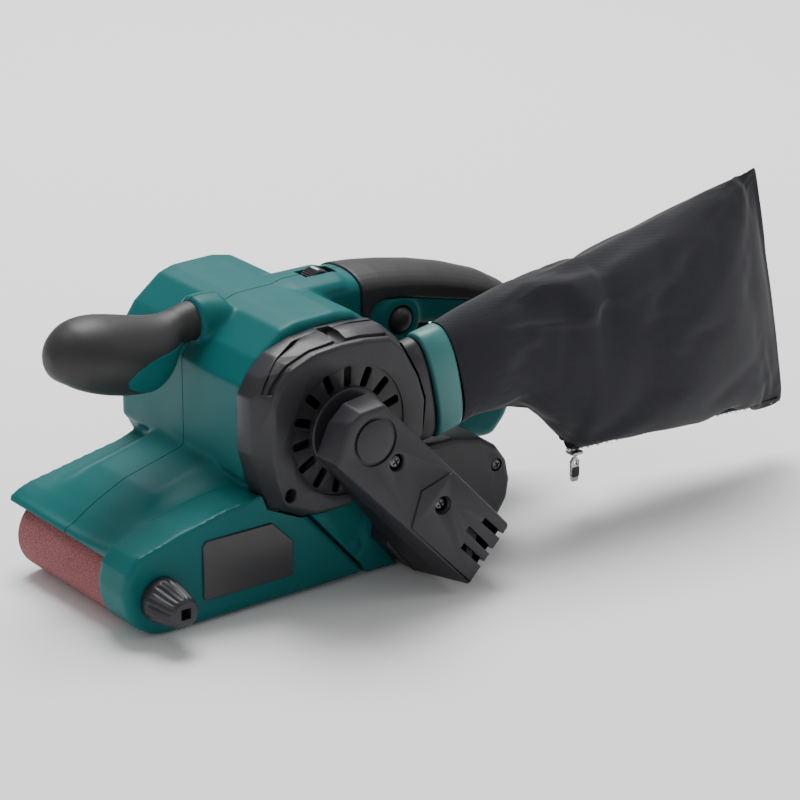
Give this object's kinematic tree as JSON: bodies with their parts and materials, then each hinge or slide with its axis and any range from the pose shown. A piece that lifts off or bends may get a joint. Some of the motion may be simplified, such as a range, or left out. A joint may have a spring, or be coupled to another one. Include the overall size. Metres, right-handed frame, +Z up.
{
  "type": "handheld belt sander",
  "caption": "Handheld belt sander with a transverse motor, side belt-drive cover, front grip, rear D-handle and a cloth dust bag.",
  "frame": {"origin": "on the underside of the sanding belt, in the belt's centre plane, midway between the rollers", "axes": "+X towards the rear handle, -Y towards the drive cover and the dust bag, +Z up from the sanding face"},
  "size_m": [0.3982, 0.1604, 0.1552],
  "materials": {
    "teal_plastic": "satin",
    "black_plastic": "matte",
    "black_rubber": "matte",
    "steel": "satin",
    "aluminium": "satin",
    "copper": "satin",
    "abrasive": "matte",
    "cork": "matte",
    "bag_cloth": "matte",
    "carbon": "matte",
    "zinc": "polished",
    "label": "gloss"
  },
  "bodies": {
    "root": {"housing_near": "teal_plastic", "housing_far": "teal_plastic", "side_skirt_front": "teal_plastic", "side_skirt_rear": "teal_plastic", "front_grip": "black_rubber", "handle_grip": "black_rubber", "drive_belt": "black_rubber", "cord_gland": "black_rubber", "label_plate": "label", "gear_case_cover": "black_plastic", "fan_housing": "black_plastic", "dust_duct": "black_plastic", "drive_belt_cover": "black_plastic", "end_cap_far": "black_plastic", "switch_body": "black_plastic", "speed_control_module": "black_plastic", "base_frame": "aluminium", "cork_pad": "cork", "sanding_belt": "abrasive", "field_winding_near": "copper", "field_winding_far": "copper", "brush_holder_front": "copper", "brush_holder_rear": "copper", "carbon_brush_front": "carbon", "carbon_brush_rear": "carbon", "platen": "steel", "stator": "steel", "motor_bearing_near": "steel", "motor_bearing_far": "steel", "layshaft_bearing": "steel", "drum_bearing": "steel", "tension_spring": "steel", "cover_screw_upper": "steel", "cover_screw_lower": "steel", "fan_housing_screw": "steel", "gear_case_screw": "steel"},
    "armature": {"armature_shaft": "steel", "armature_core": "steel", "commutator": "copper", "cooling_fan": "black_plastic", "drive_pulley": "steel"},
    "layshaft": {"layshaft": "steel", "driven_pulley": "steel", "pinion": "steel"},
    "drum": {"drum_shaft": "steel", "drum_core": "aluminium", "drum_rubber": "black_rubber", "drum_gear": "steel"},
    "yoke": {"idler_yoke": "steel"},
    "front_axle": {"idler_axle": "steel"},
    "front_roller": {"idler_roller": "aluminium"},
    "lever": {"tension_lever": "steel"},
    "knob": {"tracking_knob": "black_plastic"},
    "trigger": {"trigger": "black_plastic"},
    "lock_button": {"lock_button": "black_plastic"},
    "speed_dial": {"speed_dial": "black_plastic"},
    "bag": {"bag_collar": "teal_plastic", "dust_bag": "bag_cloth"},
    "zip_slider": {"zip_slider": "zinc"},
    "zip_pull": {"zip_pull": "zinc"}
  },
  "joints": [
    {"name": "armature_spin", "type": "hinge", "parent": "root", "child": "armature", "pos_m": [0.01, 0, 0.0815], "axis": [0, -1, 0], "continuous": true},
    {"name": "layshaft_spin", "type": "hinge", "parent": "root", "child": "layshaft", "pos_m": [0.0562, 0, 0.0299], "axis": [0, -1, 0], "continuous": true},
    {"name": "drum_spin", "type": "hinge", "parent": "root", "child": "drum", "pos_m": [0.08, 0, 0.024], "axis": [0, -1, 0], "continuous": true},
    {"name": "yoke_slide", "type": "slide", "parent": "root", "child": "yoke", "axis": [1, 0, 0], "range_m": [0, 0.006], "deforming": ["tension_spring"]},
    {"name": "tracking_tilt", "type": "hinge", "parent": "yoke", "child": "front_axle", "pos_m": [-0.0825, 0, 0.019], "axis": [0, 0, 1], "range_deg": [-0.36, 0.36]},
    {"name": "front_roller_spin", "type": "hinge", "parent": "front_axle", "child": "front_roller", "pos_m": [-0.0825, 0, 0.019], "axis": [0, -1, 0], "continuous": true},
    {"name": "tension_lever_turn", "type": "hinge", "parent": "root", "child": "lever", "pos_m": [-0.014, 0.0305, 0.0185], "axis": [0, 0, 1], "range_deg": [0, 75]},
    {"name": "tracking_knob_turn", "type": "hinge", "parent": "root", "child": "knob", "pos_m": [-0.087, -0.07, 0.0195], "axis": [0, -1, 0], "range_deg": [-180, 180]},
    {"name": "trigger_squeeze", "type": "hinge", "parent": "root", "child": "trigger", "pos_m": [0.084, 0, 0.097], "axis": [0, -1, 0], "range_deg": [0, 8], "stiffness_Nm_per_rad": 1, "springref_deg": -5.73},
    {"name": "lock_button_press", "type": "slide", "parent": "root", "child": "lock_button", "axis": [0, 1, 0], "range_m": [0, 0.003], "stiffness_N_per_m": 400, "springref_m": -0.001},
    {"name": "speed_dial_turn", "type": "hinge", "parent": "root", "child": "speed_dial", "pos_m": [0.043, 0, 0.1256], "axis": [0, 1, 0], "range_deg": [0, 270]},
    {"name": "bag_pull_off", "type": "slide", "parent": "root", "child": "bag", "axis": [0.9829, 0, 0.184], "range_m": [0, 0.02]},
    {"name": "zip_slide", "type": "slide", "parent": "bag", "child": "zip_slider", "axis": [0.999, 0, -0.045], "range_m": [0, 0.112]},
    {"name": "zip_pull_swing", "type": "hinge", "parent": "zip_slider", "child": "zip_pull", "pos_m": [0.1542, -0.06, 0.0304], "axis": [0, 1, 0], "range_deg": [-35, 35]}
  ],
  "couplings": [
    {"joint": "layshaft_spin", "follows": "armature_spin", "ratio": 0.5},
    {"joint": "drum_spin", "follows": "armature_spin", "ratio": -0.2},
    {"joint": "front_roller_spin", "follows": "armature_spin", "ratio": -0.25556},
    {"joint": "yoke_slide", "follows": "tension_lever_turn", "m_per_rad": 0.0045791},
    {"joint": "tracking_tilt", "follows": "tracking_knob_turn", "ratio": 0.0019444}
  ]
}
